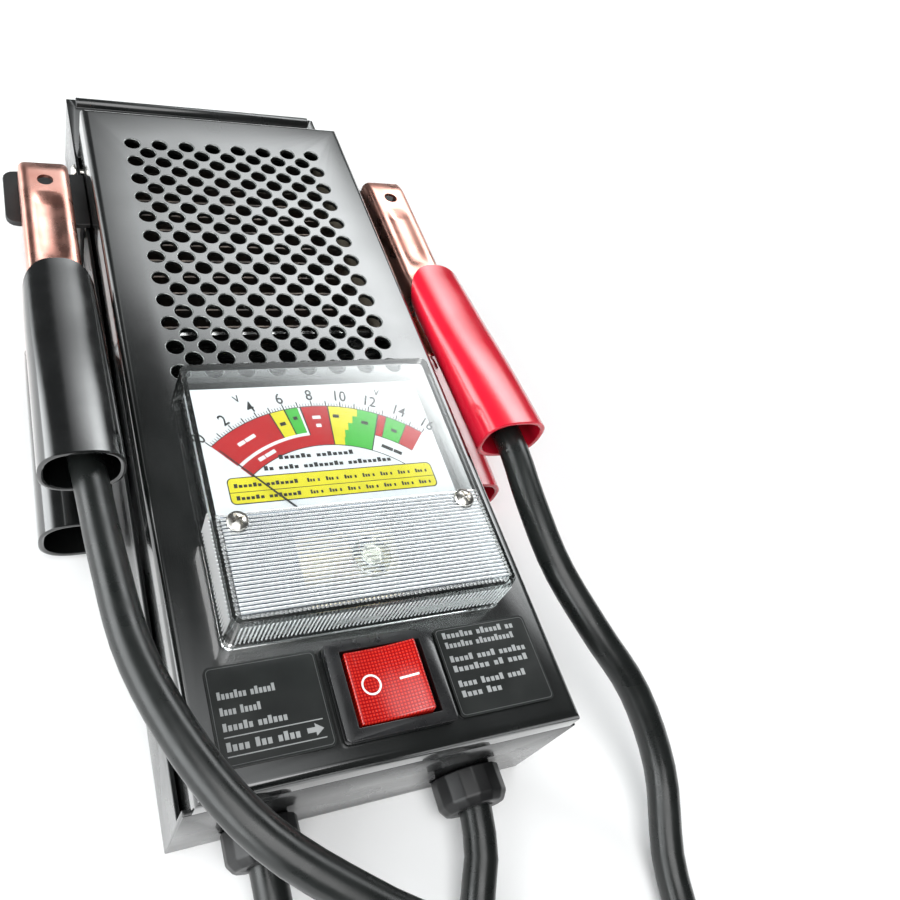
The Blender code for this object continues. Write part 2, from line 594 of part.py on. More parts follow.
def jaw(name, side, up, half_width, finish, frame, origin):
    """Half of a clamp: a folded channel with a flat jaw in front of the pin and a tail behind.
    u runs along the clamp from the pin, v away from the clamp's middle plane."""
    def place(points):
        return [(CLAMP_PIN_Y + u, REST_Z + up * v) for u, v in points]
    x = side * CLAMP_X
    back = [(61.0, 10.5), (57.0, 12.0), (6.0, 12.0), (-12.0, 14.9)]
    plate = half_width - 0.3
    piece = prism(name, place(strip_outline(back, SHEET)), x - plate, x + plate, "x",
                  finish, frame, origin)
    tail = [(-11.0, 14.7), (-46.0, 20.4)]
    join(piece, prism(name + "_tail", place(strip_outline(tail, SHEET)), x - 5.6, x + 5.6, "x",
                      None, frame))
    cheek = [(60.5, 10.2), (56.8, 11.6), (6.2, 11.6), (-11.5, 14.4), (-11.7, 12.0),
             (-8.0, 5.0), (-5.0, -3.0), (-2.5, -4.6), (2.5, -4.6), (5.0, -3.0),
             (12.0, 4.0), (22.0, 6.0), (36.0, 2.2), (38.0, 1.3), (59.6, 1.3)]
    for end, name_end in ((-1, "a"), (1, "b")):
        inner = x + end * (half_width - SHEET)
        outer = x + end * half_width
        join(piece, prism(name + "_cheek_" + name_end, place(cheek), min(inner, outer),
                          max(inner, outer), "x", None, frame))
    holes = bmesh.new()
    prism_into(holes, disc_outline((CLAMP_PIN_Y, REST_Z), 2.4, 12), x - 12.0, x + 12.0, "x")
    prism_into(holes, disc_outline((x, CLAMP_PIN_Y + 49.0), 2.6, 12),
               REST_Z + up * 8.0, REST_Z + up * 16.0)
    cut(piece, finish_mesh(name + "_holes", holes, None, frame))
    return piece


def grip(name, side, up, finish, frame, origin):
    """Flexible sleeve over a clamp's tail, open at both ends; its front end is slanted, so
    that it reaches further forward on the outside of the clamp."""
    sides = 20
    x = side * CLAMP_X
    #            u      v of middle, half width, half height, slant
    stations = [(3.0, 13.4, 10.8, 5.8, 22.0), (-3.0, 13.6, 11.0, 6.2, 18.0),
                (-24.0, 14.8, 11.2, 7.0, 2.0), (-50.0, 16.8, 11.3, 8.6, 0.0),
                (-77.0, 18.4, 11.4, 9.4, 0.0)]

    def ring(u, v, half_x, half_z, slant):
        points = []
        for i in range(sides):
            a = 2 * math.pi * i / sides
            c, s = math.cos(a), math.sin(a)
            points.append((x + half_x * math.copysign(abs(c) ** 0.8, c),
                           CLAMP_PIN_Y + u - slant * (1 - s) / 2,
                           REST_Z + up * (v + half_z * math.copysign(abs(s) ** 0.8, s))))
        return points

    wall = 1.5
    outer = [ring(*station) for station in stations]
    inner = [ring(u, v, a - wall, b - wall, slant) for u, v, a, b, slant in stations]
    bm = bmesh.new()
    loft_into(bm, outer + inner[::-1])
    return finish_mesh(name, bm, finish, frame, origin, smooth=40)


def clamp(side, name, grip_finish, frame, looks):
    x = side * CLAMP_X
    pin = (x, CLAMP_PIN_Y, REST_Z)
    jaw("upper_jaw_" + name, side, 1, 8.5, looks["copper"], frame, pin)
    jaw("lower_jaw_" + name, side, -1, 7.0, looks["copper"], frame, pin)
    grip("upper_grip_" + name, side, 1, grip_finish, frame, pin)
    grip("lower_grip_" + name, side, -1, grip_finish, frame, pin)
    turned("clamp_pin_" + name,
           [(0.0, -9.9), (3.2, -9.9), (3.2, -8.8), (2.1, -8.8), (2.1, 8.8), (3.2, 8.8),
            (3.2, 9.9), (0.0, 9.9)], pin, "x", 12, looks["zinc"], frame)
    wire, radius = 1.1, 3.4
    coil = [(x - 3.0, CLAMP_PIN_Y - 24.0, REST_Z + 6.7)]
    for i in range(4 * 10 + 5 + 1):
        a = math.pi / 2 + 2 * math.pi * i / 10
        coil.append((x - 3.0 + 6.0 * i / 45, CLAMP_PIN_Y + radius * math.cos(a),
                     REST_Z + radius * math.sin(a)))
    coil.append((x + 3.0, CLAMP_PIN_Y - 24.0, REST_Z - 6.7))
    tube("clamp_spring_" + name, coil, wire, looks["steel"], frame, resolution=1)


# ---- assembly ---------------------------------------------------------------------------
def build():
    for old in list(bpy.data.objects):
        bpy.data.objects.remove(old, do_unlink=True)
    frame = bpy.data.objects.new("tester_frame", None)
    bpy.context.scene.collection.objects.link(frame)
    frame.location = (0.0, Y_SHIFT * MM, 0.0)

    looks = {
        "paint": material("black_gloss_paint", (0.035, 0.04, 0.04), 0.22),
        "black_plastic": material("black_plastic", (0.015, 0.015, 0.016), 0.35),
        "clear": material("clear_plastic", (0.95, 0.96, 0.96), 0.05, transmission=1.0),
        "dial": material("dial_card", (0.86, 0.88, 0.88), 0.5),
        "zinc": material("zinc_plated_steel", (0.7, 0.7, 0.68), 0.25, 1.0),
        "steel": material("spring_steel", (0.4, 0.4, 0.41), 0.35, 1.0),
        "bright_steel": material("bright_steel", (0.75, 0.75, 0.74), 0.25, 1.0),
        "copper": material("copper_plate", (0.86, 0.45, 0.36), 0.25, 1.0),
        "brass": material("brass", (0.75, 0.58, 0.28), 0.3, 1.0),
        "black_metal": material("needle_black", (0.01, 0.01, 0.01), 0.5),
        "red_clear": material("red_translucent", (0.75, 0.02, 0.015), 0.15),
        "nichrome": material("nichrome", (0.3, 0.28, 0.26), 0.4, 1.0),
        "mica": material("mica_board", (0.55, 0.5, 0.42), 0.7),
        "cable": material("cable_rubber", (0.02, 0.022, 0.022), 0.35),
        "black_vinyl": material("black_vinyl", (0.02, 0.022, 0.022), 0.3),
        "red_vinyl": material("red_vinyl", (0.72, 0.01, 0.03), 0.22),
        "label": material("label_film", (0.05, 0.05, 0.05), 0.3),
    }

    front_cover(frame, looks["paint"])
    rear_case(frame, looks["paint"])
    for side, name, grip_finish, route in (
            (-1, "left", looks["black_vinyl"], CABLE_LEFT_ROUTE),
            (1, "right", looks["red_vinyl"], CABLE_RIGHT_ROUTE)):
        for y, end in zip(CASE_SCREW_Y, ("bottom", "top")):
            side_fastener(f"case_screw_{name}_{end}", side, y, CASE_SCREW_Z, 4.5, 3.0,
                          looks["zinc"], frame)
        clamp_rest("clamp_rest_" + name, side, looks["paint"], frame)
        rivet = side_fastener("rest_rivet_" + name, side, REST_RIVET_Y, REST_RIVET_Z, 3.0, 2.8,
                              looks["zinc"], frame)
        rivet.location.x += side * 1.8 * MM
        cable_entry(side, name, frame, looks)
        clamp(side, name, grip_finish, frame, looks)
        in_gland = Vector((side * GLAND_X, -3.6, GLAND_Z))
        tube("cable_" + name, [in_gland] + smooth_route(route, 2.2 * CABLE_D), CABLE_D,
             looks["cable"], frame)
        prism("label_" + name,
              rounded_rectangle(14.1, 12.0, 1.5, (side * 30.9, SWITCH_Y), 3),
              CASE_D + GAP, CASE_D + GAP + 0.4, "z", looks["label"], frame)
    meter(frame, looks)
    meter_movement(frame, looks)
    switch(frame, looks)
    load_element(frame, looks)


build()
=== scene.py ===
"""Looks, camera and light for the battery load tester.

Lengths in the tables below are millimetres in the tester's own axes: X from the middle of the
case, Y from its bottom end, Z from the surface it lies on.  at() turns them into the frame.
"""
import json
import math

import bmesh
import bpy
from mathutils import Matrix, Vector


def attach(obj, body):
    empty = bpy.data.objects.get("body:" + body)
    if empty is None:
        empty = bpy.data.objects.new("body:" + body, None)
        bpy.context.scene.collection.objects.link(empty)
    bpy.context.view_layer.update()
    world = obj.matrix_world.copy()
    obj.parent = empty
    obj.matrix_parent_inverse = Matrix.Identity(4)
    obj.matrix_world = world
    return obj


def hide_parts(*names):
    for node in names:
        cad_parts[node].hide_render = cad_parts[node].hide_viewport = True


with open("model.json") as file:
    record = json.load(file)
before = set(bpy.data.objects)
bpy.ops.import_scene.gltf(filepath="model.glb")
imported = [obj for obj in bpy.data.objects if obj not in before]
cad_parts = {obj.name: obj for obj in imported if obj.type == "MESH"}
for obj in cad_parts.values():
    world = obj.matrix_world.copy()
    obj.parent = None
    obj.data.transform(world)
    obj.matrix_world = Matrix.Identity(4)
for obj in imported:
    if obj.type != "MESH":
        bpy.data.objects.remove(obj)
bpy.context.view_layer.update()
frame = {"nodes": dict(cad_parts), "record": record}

MM = 0.001
Y_SHIFT = -136.7               # added to Y: the frame's origin is that far up the case
FACE = 47.0                    # height of the front face
LENS_TOP = FACE + 14.5         # where the apron and the lens screws stand
PLATE_Y = 17.5                 # middle of the labels and of the rocker
CLAMP_X = 66.5                 # middle of a clamp, on either side
PIN_Y, PIN_Z = 165.0, 30.0     # a clamp's hinge pin
NODES = frame["nodes"]
BODY = {node: body for body, group in frame["record"]["behaviour"]["bodies"].items()
        for node in group}
SLOT = {entry["node"]: entry["material_slot"] for entry in frame["record"]["subparts"]}


def at(x, y, z):
    return Vector((x, y + Y_SHIFT, z)) * MM


def new_object(name, data):
    made = bpy.data.objects.new(name, data)
    bpy.context.scene.collection.objects.link(made)
    return made


def set_sockets(node, values):
    """Set a node's own sockets from {socket: value}."""
    for socket, value in values.items():
        node.inputs[socket].default_value = value


# ---- camera -----------------------------------------------------------------------------
def add_camera():
    """Close over the tester's lower left corner, looking up along its front face."""
    data = bpy.data.cameras.new("camera")
    data.lens = 33.63
    data.sensor_width = 36.0
    data.shift_x = 0.1
    data.shift_y = -0.0144
    data.clip_start, data.clip_end = 0.01, 20.0
    camera = new_object("camera", data)
    forward = Vector((0.3864, 0.5227, -0.7599)).normalized()
    up_hint = Vector((0.0620, 0.8073, 0.5868))
    right = forward.cross(up_hint).normalized()
    up = right.cross(forward)
    turn = Matrix((right, up, -forward)).transposed()
    camera.matrix_world = Matrix.Translation(at(-84.3, -40.9, 242.8)) @ turn.to_4x4()
    bpy.context.scene.camera = camera
    bpy.context.scene.view_settings.view_transform = "Standard"


# ---- materials --------------------------------------------------------------------------
def principled(name, colour, roughness, metallic=0.0):
    made = bpy.data.materials.new(name)
    made.use_nodes = True
    shader = made.node_tree.nodes["Principled BSDF"]
    set_sockets(shader, {"Base Color": (*colour, 1.0), "Roughness": roughness, "Metallic": metallic})
    return made, made.node_tree, shader


def object_coordinates(tree, stretch=(1.0, 1.0, 1.0)):
    source = tree.nodes.new("ShaderNodeTexCoord").outputs["Object"]
    mapping = tree.nodes.new("ShaderNodeMapping")
    mapping.inputs["Scale"].default_value = stretch
    tree.links.new(source, mapping.inputs["Vector"])
    return mapping.outputs["Vector"]


def noise(tree, scale, detail, stretch):
    node = tree.nodes.new("ShaderNodeTexNoise")
    set_sockets(node, {"Scale": scale, "Detail": detail})
    tree.links.new(object_coordinates(tree, stretch), node.inputs["Vector"])
    return node.outputs["Fac"]


def wave(tree, scale, direction):
    node = tree.nodes.new("ShaderNodeTexWave")
    node.bands_direction = direction
    set_sockets(node, {"Scale": scale})
    tree.links.new(object_coordinates(tree), node.inputs["Vector"])
    return node.outputs["Fac"]


def between(tree, value, start, stop, low=0.0, high=1.0, kind="LINEAR"):
    """Map start..stop to low..high, and hold the ends."""
    node = tree.nodes.new("ShaderNodeMapRange")
    node.interpolation_type = kind
    set_sockets(node, {"From Min": start, "From Max": stop, "To Min": low, "To Max": high})
    tree.links.new(value, node.inputs["Value"])
    return node.outputs["Result"]


def maths(tree, operation, one, two):
    """A Math node on an output and a second output or a number."""
    node = tree.nodes.new("ShaderNodeMath")
    node.operation = operation
    tree.links.new(one, node.inputs[0])
    if isinstance(two, float):
        node.inputs[1].default_value = two
    else:
        tree.links.new(two, node.inputs[1])
    return node.outputs["Value"]


def two_tone(tree, factor, one, two, start=0.35, stop=0.65):
    ramp = tree.nodes.new("ShaderNodeValToRGB")
    for stop_point, place, colour in zip(ramp.color_ramp.elements, (start, stop), (one, two)):
        stop_point.position = place
        stop_point.color = (*colour, 1.0)
    tree.links.new(factor, ramp.inputs["Fac"])
    return ramp.outputs["Color"]


def bump(tree, shader, height, distance, strength=1.0):
    node = tree.nodes.new("ShaderNodeBump")
    set_sockets(node, {"Strength": strength, "Distance": distance})
    tree.links.new(height, node.inputs["Height"])
    tree.links.new(node.outputs["Normal"], shader.inputs["Normal"])


def split_by_ray(tree, kind, usual, special, output):
    """Show one shader to most rays and another to one kind of ray."""
    light_path = tree.nodes.new("ShaderNodeLightPath")
    mix = tree.nodes.new("ShaderNodeMixShader")
    tree.links.new(light_path.outputs[kind], mix.inputs["Fac"])
    tree.links.new(usual, mix.inputs[1])
    tree.links.new(special, mix.inputs[2])
    tree.links.new(mix.outputs["Shader"], tree.nodes[output].inputs["Surface"])


def surface(name, colour, other, roughness, metallic=0.0, patch=60.0, grain=1400.0,
            depth=0.000004, wear=0.06, stretch=(1.0, 1.0, 1.0), coat=0.0):
    """Two close colours in soft patches, uneven gloss and a fine bump."""
    made, tree, shader = principled(name, colour, roughness, metallic)
    tree.links.new(two_tone(tree, noise(tree, patch, 4.0, stretch), colour, other),
                   shader.inputs["Base Color"])
    tree.links.new(between(tree, noise(tree, patch * 1.7, 5.0, stretch), 0.3, 0.7,
                           max(roughness - wear, 0.02), roughness + wear),
                   shader.inputs["Roughness"])
    if depth:
        bump(tree, shader, noise(tree, grain, 2.0, stretch), depth)
    if coat:
        set_sockets(shader, {"Coat Weight": coat, "Coat Roughness": 0.06, "Coat IOR": 1.55,
                        "Specular IOR Level": 0.65})
    return made


def clear_plastic(name, tint, roughness=0.02, transmission=1.0):
    """Acrylic that bends light for the eye and lets lamps through."""
    made, tree, shader = principled(name, tint, roughness)
    set_sockets(shader, {"Transmission Weight": transmission, "IOR": 1.45})
    through = tree.nodes.new("ShaderNodeBsdfTransparent")
    set_sockets(through, {"Color": (*tint, 1.0)})
    split_by_ray(tree, "Is Shadow Ray", shader.outputs["BSDF"], through.outputs["BSDF"],
                 "Material Output")
    return made


def rocker_plastic():
    """Translucent red with a fine moulded waffle under the gloss."""
    made, tree, shader = principled("rocker_red", (0.62, 0.006, 0.004), 0.12)
    fineness = 370.0
    waffle = maths(tree, "MAXIMUM", wave(tree, fineness, "X"), wave(tree, fineness, "Y"))
    tree.links.new(two_tone(tree, waffle, (0.62, 0.02, 0.01), (0.3, 0.0, 0.002), 0.45, 0.95),
                   shader.inputs["Base Color"])
    bump(tree, shader, waffle, 0.00006, 0.5)
    set_sockets(shader, {"Subsurface Weight": 0.25, "Subsurface Radius": (0.004, 0.0006, 0.0004),
                    "Coat Weight": 1.0, "Coat Roughness": 0.05})
    return made


def printed(name, colour, roughness=0.45):
    return surface(name, colour, tuple(c * 0.93 for c in colour), roughness, patch=220.0,
                   grain=2500.0, depth=0.000002, wear=0.03)


LOOK = {
    "paint": surface("black_enamel", (0.003, 0.0037, 0.0035), (0.006, 0.007, 0.0066), 0.22,
                     patch=35.0, grain=1100.0, depth=0.0000035, coat=1.0),
    "tray_paint": surface("black_enamel_tray", (0.004, 0.0045, 0.0045), (0.007, 0.008, 0.008),
                          0.28, patch=35.0, grain=1100.0, depth=0.0000035, coat=0.4),
    # grey metal for the top bands of each vent hole's lip: a painted highlight ring round the holes,
    # not wear
    "painted_rim_highlight": surface("painted_rim_highlight", (0.16, 0.17, 0.165), (0.26, 0.27, 0.265), 0.3, 0.7,
                         patch=400.0),
    "matt": surface("matt_black", (0.010, 0.010, 0.010), (0.017, 0.017, 0.017), 0.48),
    "black_plastic": surface("black_moulding", (0.006, 0.006, 0.0065), (0.010, 0.010, 0.011),
                             0.28, depth=0.000006, coat=0.4),
    "gland": surface("gland_nylon", (0.005, 0.005, 0.0053), (0.008, 0.008, 0.0085), 0.4,
                     depth=0.000008),
    "clear": clear_plastic("clear_acrylic", (0.97, 0.985, 0.98)),
    "frost": clear_plastic("ribbed_acrylic", (0.95, 0.97, 0.97), 0.12, 0.8),
    # dark blue-grey glass for the flat valleys between the apron's ribs: painted shade for the dark
    # lines between the ribs
    "groove": clear_plastic("apron_valley_painted_shade", (0.22, 0.25, 0.30), 0.12),
    "hub": clear_plastic("adjuster_acrylic", (0.80, 0.82, 0.76), 0.08, 0.75),
    "dial": printed("dial_card", (0.56, 0.58, 0.60)),
    "black_print": printed("print_black", (0.012, 0.012, 0.013)),
    "red_print": printed("print_red", (0.33, 0.004, 0.006)),
    "yellow_print": printed("print_yellow", (0.52, 0.47, 0.01)),
    "green_print": printed("print_green", (0.035, 0.32, 0.03)),
    "grey_print": printed("print_grey", (0.33, 0.34, 0.34)),
    "dim_print": printed("print_dim", (0.085, 0.088, 0.088)),
    "zinc": surface("zinc_plate", (0.62, 0.60, 0.55), (0.72, 0.70, 0.66), 0.24, 1.0,
                    patch=400.0),
    "steel": surface("spring_steel", (0.34, 0.34, 0.35), (0.45, 0.45, 0.46), 0.34, 1.0,
                     patch=300.0),
    "bright": surface("bright_sheet", (0.62, 0.62, 0.60), (0.74, 0.74, 0.73), 0.26, 1.0,
                      patch=80.0, stretch=(1.0, 6.0, 6.0)),
    "copper": surface("copper_plate", (0.74, 0.36, 0.29), (0.84, 0.47, 0.39), 0.3, 1.0,
                      patch=70.0, grain=900.0, depth=0.000008, wear=0.09),
    "brass": surface("brass_sheet", (0.66, 0.50, 0.22), (0.76, 0.60, 0.32), 0.3, 1.0),
    "nichrome": surface("nichrome", (0.22, 0.20, 0.19), (0.34, 0.28, 0.24), 0.42, 1.0,
                        patch=120.0),
    "mica": surface("mica_board", (0.40, 0.35, 0.27), (0.52, 0.46, 0.37), 0.7),
    "cable": surface("cable_jacket", (0.006, 0.0072, 0.0068), (0.010, 0.0115, 0.011), 0.3,
                     patch=90.0, grain=1800.0, depth=0.00001),
    "black_vinyl": surface("grip_black", (0.003, 0.0034, 0.0034), (0.006, 0.0066, 0.0066), 0.2,
                           patch=80.0, grain=500.0, depth=0.00001, coat=1.0),
    "red_vinyl": surface("grip_red", (0.56, 0.006, 0.022), (0.66, 0.010, 0.032), 0.2,
                         patch=60.0, grain=500.0, depth=0.00001, coat=0.5),
    "label": surface("label_film", (0.016, 0.0175, 0.017), (0.024, 0.026, 0.025), 0.2,
                     patch=60.0, grain=1600.0, depth=0.000003),
    "rocker": rocker_plastic(),
    "white_paint": printed("marking_white", (0.85, 0.86, 0.86), 0.35),
}


# ---- mesh helpers -----------------------------------------------------------------------
def place_piece(name, mesh, looks, body, stands_for=(), smooth=None):
    """Put a mesh in the scene as a piece; smooth is the sharpest angle that is rounded."""
    made = new_object(name, mesh)
    for look in looks if isinstance(looks, list) else [looks]:
        mesh.materials.append(LOOK[look])
    if smooth is not None:
        mesh.shade_smooth()
        mesh.set_sharp_from_angle(angle=math.radians(smooth))
    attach(made, body)
    if stands_for:
        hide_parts(*stands_for)


def to_mesh(name, bm, weld=True):
    """bmesh in tester millimetres to a mesh in the frame's metres."""
    if weld:
        bmesh.ops.remove_doubles(bm, verts=bm.verts, dist=1e-4)
        bmesh.ops.recalc_face_normals(bm, faces=bm.faces)
    bm.transform(Matrix.Translation((0.0, Y_SHIFT, 0.0)))
    bm.transform(Matrix.Scale(MM, 4))
    mesh = bpy.data.meshes.new(name)
    bm.to_mesh(mesh)
    bm.free()
    return mesh


def evaluated(data, modifier=None, **settings):
    """The mesh of a mesh or text, after one modifier if one is named."""
    holder = new_object("holder", data)
    if modifier:
        step = holder.modifiers.new(modifier, modifier)
        for key, value in settings.items():
            setattr(step, key, value)
    graph = bpy.context.evaluated_depsgraph_get()
    result = bpy.data.meshes.new_from_object(holder.evaluated_get(graph))
    bpy.data.objects.remove(holder)
    return result


def carve(mesh, bm, operation="DIFFERENCE"):
    other = new_object("cutter", to_mesh("cutter", bm))
    result = evaluated(mesh, "BOOLEAN", object=other, operation=operation, solver="EXACT")
    bpy.data.objects.remove(other)
    result.materials.clear()
    return result


def softened(node, look, width, segments, angle=30.0, flat_area=None, merge=True):
    """A CAD solid with its edges rounded, standing for that solid.

    Faces over flat_area (square millimetres) are shaded flat, so that what is seen through
    them isn't bent.  merge joins the CAD mesh's coplanar triangles first."""
    bm = bmesh.new()
    bm.from_mesh(NODES[node].data)
    bmesh.ops.remove_doubles(bm, verts=bm.verts, dist=2e-6)
    if merge:
        bmesh.ops.dissolve_limit(bm, angle_limit=math.radians(0.8), verts=bm.verts,
                                 edges=bm.edges)
    mesh = bpy.data.meshes.new(node + "_soft")
    bm.to_mesh(mesh)
    bm.free()
    mesh.shade_smooth()
    mesh = evaluated(mesh, "BEVEL", width=width * MM, segments=segments, limit_method="ANGLE",
                     angle_limit=math.radians(angle), harden_normals=flat_area is None)
    if flat_area:
        for face in mesh.polygons:
            face.use_smooth = face.area < flat_area * MM * MM
    place_piece(node + "_finished", mesh, look, BODY[node], [node])


def box_into(bm, low, high, index=0):
    corners = [bm.verts.new((x, y, z)) for x in (low[0], high[0])
               for y in (low[1], high[1]) for z in (low[2], high[2])]
    for a, b, c, d in ((0, 1, 3, 2), (4, 6, 7, 5), (0, 4, 5, 1),
                       (2, 3, 7, 6), (0, 2, 6, 4), (1, 5, 7, 3)):
        bm.faces.new([corners[i] for i in (a, b, c, d)]).material_index = index


def prism_into(bm, outline, start, end, axis="z", index=0):
    def place(point, depth):
        u, v = point
        return {"x": (depth, u, v), "y": (u, depth, v), "z": (u, v, depth)}[axis]
    lower = [bm.verts.new(place(p, start)) for p in outline]
    upper = [bm.verts.new(place(p, end)) for p in outline]
    made = [bm.faces.new(lower[::-1]), bm.faces.new(upper)]
    for i in range(len(outline)):
        j = (i + 1) % len(outline)
        made.append(bm.faces.new((lower[i], lower[j], upper[j], upper[i])))
    for face in made:
        face.material_index = index


def disc(centre, radius, sides):
    step = 2 * math.pi / sides
    return [(centre[0] + radius * math.cos(i * step), centre[1] + radius * math.sin(i * step))
            for i in range(sides)]


def lathe_into(bm, profile, centre, sides, index=0):
    """Turn (radius, height) points round an upright axis."""
    rings = []
    for radius, height in profile:
        ring = disc(centre, radius, sides) if radius > 0 else [centre[:2]]
        rings.append([bm.verts.new((x, y, centre[2] + height)) for x, y in ring])
    for one, two in zip(rings, rings[1:]):
        for i in range(sides):
            j = (i + 1) % sides
            loop = list(dict.fromkeys([one[i % len(one)], one[j % len(one)],
                                       two[j % len(two)], two[i % len(two)]]))
            if len(loop) > 2:
                bm.faces.new(loop).material_index = index


def loft_into(bm, rings, closed=True):
    made = [[bm.verts.new(p) for p in ring] for ring in rings]
    for one, two in zip(made, made[1:] + made[:1] if closed else made[1:]):
        for i in range(len(one)):
            j = (i + 1) % len(one)
            bm.faces.new((one[i], one[j], two[j], two[i]))
    return made


def rounded(half_x, half_y, radius, centre):
    """Outline of a rectangle with round corners."""
    points, steps = [], 6
    for quarter, (sx, sy) in enumerate(((1, 1), (-1, 1), (-1, -1), (1, -1))):
        cx = centre[0] + sx * (half_x - radius)
        cy = centre[1] + sy * (half_y - radius)
        for i in range(steps + 1):
            a = math.pi / 2 * (quarter + i / steps)
            points.append((cx + radius * math.cos(a), cy + radius * math.sin(a)))
    return points


def smooth_route(points, spacing):
    """Catmull-Rom curve through a route's points, then even steps along it."""
    dense = []
    parts = 24
    padded = [Vector(p) for p in [points[0]] + points + [points[-1]]]
    for a, b, c, d in zip(padded, padded[1:], padded[2:], padded[3:]):
        for i in range(parts):
            t = i / parts
            dense.append(0.5 * ((2 * b) + (c - a) * t + (2 * a - 5 * b + 4 * c - d) * t * t
                                + (3 * b - a - 3 * c + d) * t ** 3))
    dense.append(Vector(points[-1]))
    lengths = [0.0]
    for one, two in zip(dense, dense[1:]):
        lengths.append(lengths[-1] + (two - one).length)
    count = max(2, round(lengths[-1] / spacing))
    even, j = [], 0
    for i in range(count + 1):
        target = lengths[-1] * i / count
        while j < len(lengths) - 2 and lengths[j + 1] < target:
            j += 1
        share = (target - lengths[j]) / (lengths[j + 1] - lengths[j])
        even.append(dense[j].lerp(dense[j + 1], share))
    return even


# ---- cables -----------------------------------------------------------------------------
CABLE_D = 9.4
GLAND_X, GLAND_Z = 30.5, 10.6
CABLE_LEFT_ROUTE = [
    (-30.5, -11.0, 10.6), (-30.2, -24.0, 9.0), (-29.5, -44.0, 6.0), (-31.0, -72.0, 5.2),
    (-28.0, -102.0, 5.2), (-12.0, -126.0, 5.2), (16.0, -130.0, 8.0), (34.0, -113.0, 15.5),
    (34.0, -88.0, 27.0), (19.5, -61.0, 40.0), (1.5, -42.5, 48.0), (-18.0, -29.6, 52.0),
    (-38.5, -12.5, 55.0), (-51.3, 7.3, 55.5), (-60.3, 32.6, 54.0), (-63.3, 58.6, 51.5),
    (-64.8, 85.0, 48.5), (-66.5, 108.0, 45.2),
]
CABLE_RIGHT_ROUTE = [
    (30.5, -11.0, 10.6), (28.5, -22.0, 9.2), (22.5, -37.5, 6.0), (19.0, -60.0, 5.2),
    (24.0, -82.0, 5.2), (40.0, -97.0, 5.2), (61.0, -96.0, 5.2), (76.0, -82.0, 5.2),
    (83.5, -60.0, 5.2), (87.5, -37.0, 6.6), (91.5, -14.0, 15.5), (85.5, 7.0, 27.5),
    (75.0, 25.0, 36.0), (67.6, 45.0, 41.5), (65.3, 66.0, 46.0), (66.0, 86.0, 48.0),
    (66.5, 108.0, 45.2),
]


def cable(side_name, route, side):
    inside_gland = Vector((side * GLAND_X, -3.6, GLAND_Z))
    points = [inside_gland] + smooth_route(route, 6.0)
    curve = bpy.data.curves.new("cable_" + side_name, "CURVE")
    curve.dimensions = "3D"
    curve.bevel_depth = CABLE_D / 2 * MM
    curve.bevel_resolution = 8
    curve.use_fill_caps = True
    line = curve.splines.new("POLY")
    line.points.add(len(points) - 1)
    for knot, p in zip(line.points, points):
        knot.co = (*at(*p), 1.0)
    line.use_smooth = True
    curve.materials.append(LOOK["cable"])
    made = new_object("cable_" + side_name + "_jacket", curve)
    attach(made, "case")
    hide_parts("cable_" + side_name)


# ---- case -------------------------------------------------------------------------------
VENT_ROWS, VENT_TOP = 23, 232.0
VENT_PITCH = (10.0, 5.0)
VENT_RADIUS = 3.15


def vent_centres():
    """Rows of eight and seven holes by turns, from the top down."""
    for row in range(VENT_ROWS):
        count = 8 - row % 2
        for column in range(count):
            yield ((column - (count - 1) / 2) * VENT_PITCH[0], VENT_TOP - row * VENT_PITCH[1])


def arc(centre, radius, start, stop):
    """Points along an arc from one angle to another, in degrees."""
    steps = 6
    angles = [math.radians(start + (stop - start) * i / steps) for i in range(steps + 1)]
    return [(centre[0] + radius * math.cos(a), centre[1] + radius * math.sin(a))
            for a in angles]


